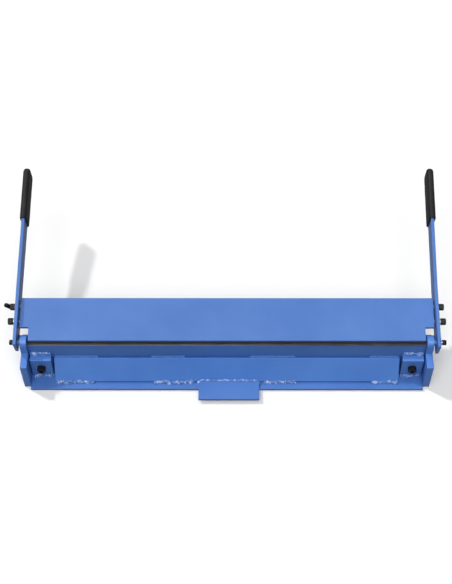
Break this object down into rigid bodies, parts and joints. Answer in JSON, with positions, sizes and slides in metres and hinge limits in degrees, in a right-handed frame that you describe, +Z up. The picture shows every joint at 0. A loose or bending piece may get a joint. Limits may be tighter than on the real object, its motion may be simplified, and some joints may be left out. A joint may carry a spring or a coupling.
{
  "type": "sheet metal brake",
  "caption": "Hand sheet metal brake: a stiffened angle bed with a vise tab, a folding leaf with handle bars and rubber grips, and a screw-drawn clamp bar.",
  "frame": {"origin": "middle of the bed's flat underside, on the floor", "axes": "+X along the bend line, +Y from the vise tab towards the handles, +Z up"},
  "size_m": [0.853, 0.4368, 0.1892],
  "materials": {
    "blue_paint": "semi-gloss blue enamel",
    "painted_weld": "blue enamel over rough weld beads",
    "pin_paint": "blue enamel over turned steel",
    "clamp_steel": "blue enamel with a bare nose",
    "black_oxide": "black oxide",
    "zinc_steel": "zinc plated",
    "rubber": "smooth satin rubber"
  },
  "bodies": {
    "base": {"bed_angle": "blue_paint", "stiffener_bar": "blue_paint", "end_plate_left": "blue_paint", "end_plate_right": "blue_paint", "clamp_block_left": "blue_paint", "clamp_block_right": "blue_paint", "vise_tab": "blue_paint", "stiffener_welds": "painted_weld", "block_welds_left": "painted_weld", "block_welds_right": "painted_weld", "tab_weld": "painted_weld", "hinge_pin_left": "pin_paint", "hinge_pin_right": "pin_paint", "pivot_bolt_left": "black_oxide", "pivot_bolt_right": "black_oxide", "pivot_washer_left": "black_oxide", "pivot_washer_right": "black_oxide", "pivot_sleeve_right": "zinc_steel", "pivot_spring_left": "black_oxide", "pivot_spring_right": "black_oxide", "stop_pin_left": "pin_paint", "stop_pin_right": "pin_paint"},
    "leaf": {"leaf_plate": "blue_paint", "leaf_block_left": "blue_paint", "leaf_block_right": "blue_paint", "handle_bar_left": "blue_paint", "handle_bar_right": "blue_paint", "grip_left": "rubber", "grip_right": "rubber", "handle_bolt_left": "black_oxide", "handle_bolts_right": "black_oxide", "bolt_spacers_left": "zinc_steel", "bolt_spacers_right": "zinc_steel", "bolt_washers_left": "zinc_steel", "bolt_washers_right": "zinc_steel", "bolt_sleeves_left": "zinc_steel", "bolt_sleeves_right": "zinc_steel", "bolt_springs_left": "black_oxide", "bolt_springs_right": "black_oxide"},
    "lock": {"lock_screw": "black_oxide", "lock_lever": "black_oxide"},
    "clamp": {"clamp_bar": "clamp_steel"},
    "screw_left": {"clamp_screw_left": "black_oxide", "screw_collar_left": "zinc_steel"},
    "screw_right": {"clamp_screw_right": "black_oxide", "screw_collar_right": "zinc_steel"}
  },
  "joints": [
    {"name": "leaf_turn", "type": "hinge", "parent": "base", "child": "leaf", "pos_m": [0, 0.0265, 0.094], "axis": [1, 0, 0], "range_deg": [0, 85]},
    {"name": "lock_turn", "type": "hinge", "parent": "leaf", "child": "lock", "pos_m": [-0.41, 0.10139, 0.10209], "axis": [-1, 0, 0], "range_deg": [0, 90]},
    {"name": "clamp_slide", "type": "slide", "parent": "base", "child": "clamp", "axis": [0, 1, 0], "range_m": [0, 0.005]},
    {"name": "screw_left_turn", "type": "hinge", "parent": "base", "child": "screw_left", "pos_m": [-0.35925, 0, 0.038], "axis": [0, -1, 0], "range_deg": [0, 1200]},
    {"name": "screw_right_turn", "type": "hinge", "parent": "base", "child": "screw_right", "pos_m": [0.35925, 0, 0.038], "axis": [0, -1, 0], "range_deg": [0, 1200]}
  ],
  "couplings": [
    {"joint": "screw_left_turn", "follows": "clamp_slide", "rad_per_m": 4188.8},
    {"joint": "screw_right_turn", "follows": "clamp_slide", "rad_per_m": 4188.8}
  ]
}
